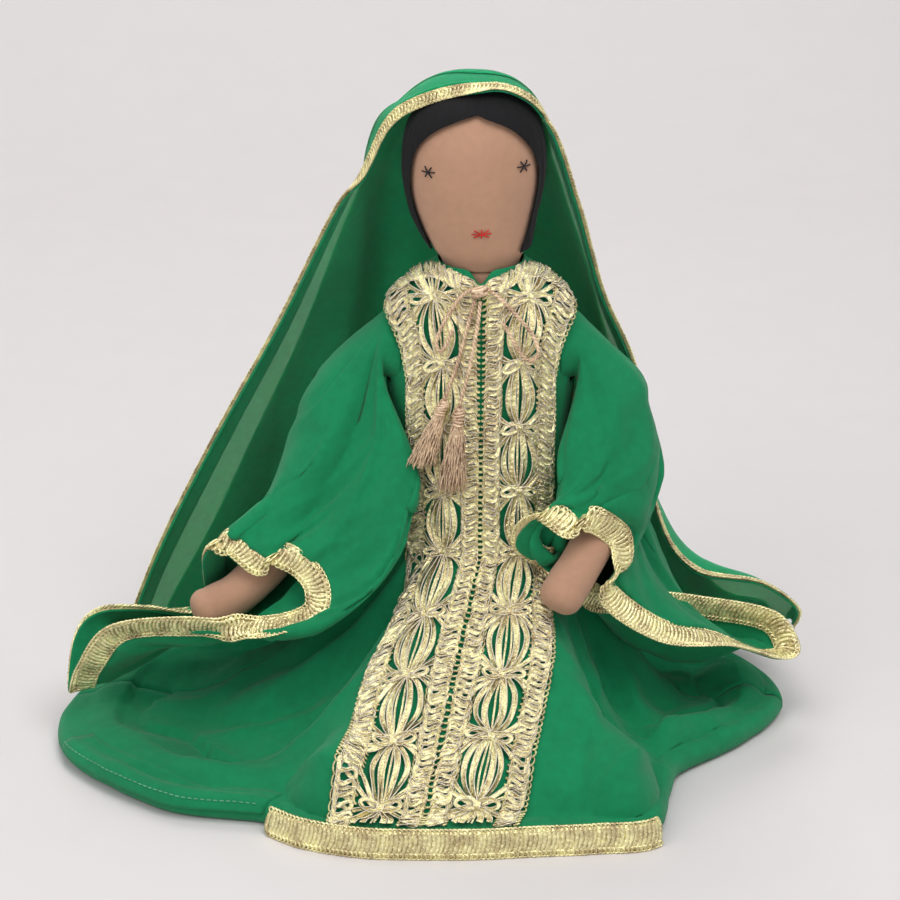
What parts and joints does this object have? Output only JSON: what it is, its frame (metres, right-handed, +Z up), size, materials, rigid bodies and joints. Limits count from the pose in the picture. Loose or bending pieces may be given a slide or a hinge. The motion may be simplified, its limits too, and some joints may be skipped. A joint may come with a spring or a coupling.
{
  "type": "cloth doll",
  "caption": "Seated stuffed cloth doll in a wide-sleeved dress with openwork gold lace, braided cuffs and hem, a tasselled neck tie and a long lifting veil.",
  "frame": {"origin": "centre of the doll's flat seat on the surface that it sits on", "axes": "+Z up along the body, -Y the way the face looks, +X to the doll's left"},
  "size_m": [0.391, 0.265, 0.3544],
  "materials": {
    "skin": "matte plain cotton",
    "hair": "matte black cloth",
    "dress": "plain woven cotton",
    "veil": "thin see-through cotton",
    "lace": "metallic thread",
    "braid": "metallic thread",
    "tie": "satin twisted cord"
  },
  "bodies": {
    "body": {"torso": "skin", "dress_front": "dress", "dress_back": "dress", "hem_braid": "braid", "lace_right": "lace", "lace_left": "lace", "tie_knot": "tie", "bow_right": "tie", "bow_left": "tie"},
    "head": {"head": "skin", "hair": "hair"},
    "arm_right": {"arm_right": "skin", "sleeve_right": "dress", "cuff_braid_right": "braid"},
    "arm_left": {"arm_left": "skin", "sleeve_left": "dress", "cuff_braid_left": "braid"},
    "leg_right": {"leg_right": "skin"},
    "leg_left": {"leg_left": "skin"},
    "veil": {"veil": "veil", "veil_braid": "braid"},
    "tie_right": {"tie_end_right": "tie", "tassel_right": "tie"},
    "tie_left": {"tie_end_left": "tie", "tassel_left": "tie"}
  },
  "joints": [
    {"name": "neck_turn", "type": "hinge", "parent": "body", "child": "head", "pos_m": [-0.0035, 0, 0.252], "axis": [0, 0, 1], "range_deg": [-15, 15]},
    {"name": "shoulder_right", "type": "hinge", "parent": "body", "child": "arm_right", "pos_m": [-0.042, 0, 0.206], "axis": [-1, 0, 0], "range_deg": [0, 60]},
    {"name": "shoulder_left", "type": "hinge", "parent": "body", "child": "arm_left", "pos_m": [0.042, 0, 0.206], "axis": [-1, 0, 0], "range_deg": [0, 60]},
    {"name": "hip_right", "type": "hinge", "parent": "body", "child": "leg_right", "pos_m": [-0.0193, -0.0153, 0.017], "axis": [0, 0, 1], "range_deg": [-3, 3]},
    {"name": "hip_left", "type": "hinge", "parent": "body", "child": "leg_left", "pos_m": [0.0193, -0.0153, 0.017], "axis": [0, 0, 1], "range_deg": [-3, 3]},
    {"name": "veil_lift", "type": "slide", "parent": "body", "child": "veil", "axis": [0, 0, 1], "range_m": [0, 0.36]},
    {"name": "tie_right_swing", "type": "hinge", "parent": "body", "child": "tie_right", "pos_m": [-0.001, -0.0298, 0.247], "axis": [-1, 0, 0], "range_deg": [0, 60]},
    {"name": "tie_left_swing", "type": "hinge", "parent": "body", "child": "tie_left", "pos_m": [-0.001, -0.0298, 0.247], "axis": [-1, 0, 0], "range_deg": [0, 60]}
  ]
}
